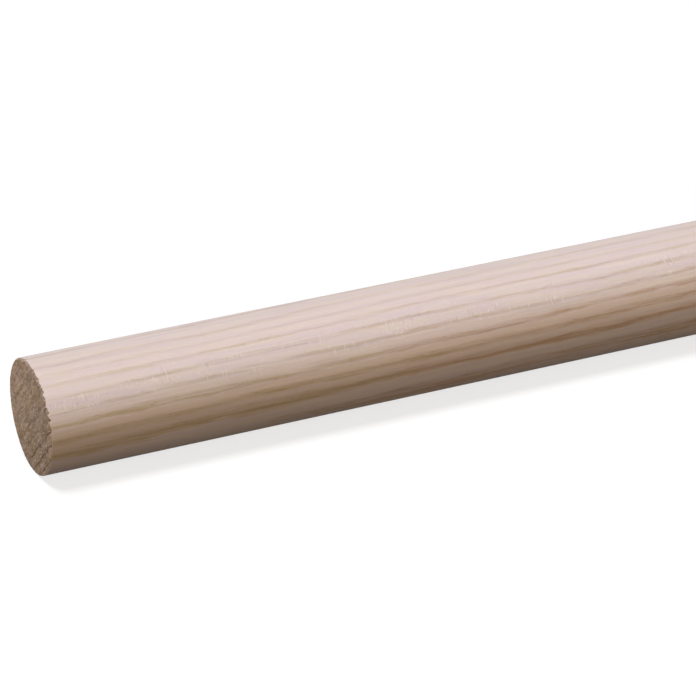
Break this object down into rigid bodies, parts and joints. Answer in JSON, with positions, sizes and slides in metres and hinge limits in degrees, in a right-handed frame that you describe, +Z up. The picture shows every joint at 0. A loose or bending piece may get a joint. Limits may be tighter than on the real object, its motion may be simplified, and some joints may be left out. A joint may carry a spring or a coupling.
{
  "type": "wooden dowel rod",
  "caption": "Plain round rod of planed softwood, sawn square at both ends, for pegs, rails, spindles and other woodwork.",
  "frame": {"origin": "on the rod's axis, halfway between the two sawn ends", "axes": "+X along the rod, +Z up across it, +Y the other way across it; the rod is round, so Y and Z are alike"},
  "size_m": [1, 0.028, 0.028],
  "materials": {
    "softwood": "planed round, unfinished, with sawn end grain"
  },
  "bodies": {
    "root": {"dowel_rod": "softwood"}
  },
  "joints": []
}
